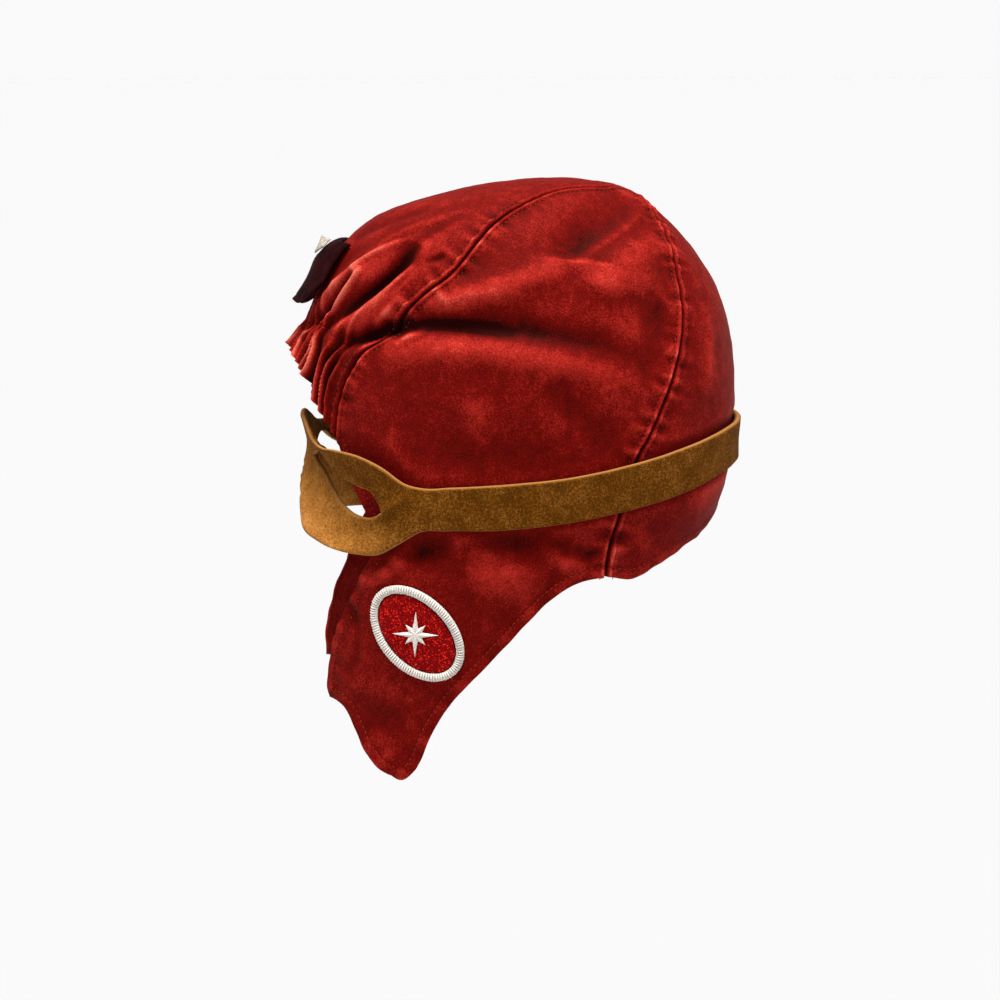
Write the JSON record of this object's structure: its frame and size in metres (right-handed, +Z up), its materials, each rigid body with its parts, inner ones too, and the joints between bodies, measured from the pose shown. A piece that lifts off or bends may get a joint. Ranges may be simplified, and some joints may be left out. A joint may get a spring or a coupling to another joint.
{
  "type": "aviator hat",
  "caption": "Soft cloth flying cap with hanging ear flaps, gathered brow and an oval patch, worn with a one-piece felt goggle mask.",
  "frame": {"origin": "inside of the top of the crown, on the middle plane, at the middle of the head's length", "axes": "+Z up, the face looks along -Y, the wearer's left is +X"},
  "size_m": [0.1678, 0.2202, 0.2795],
  "materials": {
    "suede_cloth": "brushed cotton suede, matt",
    "felt": "thick pressed wool felt, cut edges",
    "patch_ground": "embroidered glitter thread",
    "patch_thread": "satin stitched thread",
    "tab": "dark oxblood, matt",
    "badge": "pale felt"
  },
  "bodies": {
    "root": {"side_panel_left": "suede_cloth", "side_panel_right": "suede_cloth", "front_panel": "suede_cloth", "back_panel": "suede_cloth", "brow_gather": "suede_cloth", "goggle_band": "felt", "patch_ground": "patch_ground", "patch_border": "patch_thread", "patch_star": "patch_thread", "brow_tab": "tab", "tab_badge": "badge"}
  },
  "joints": []
}
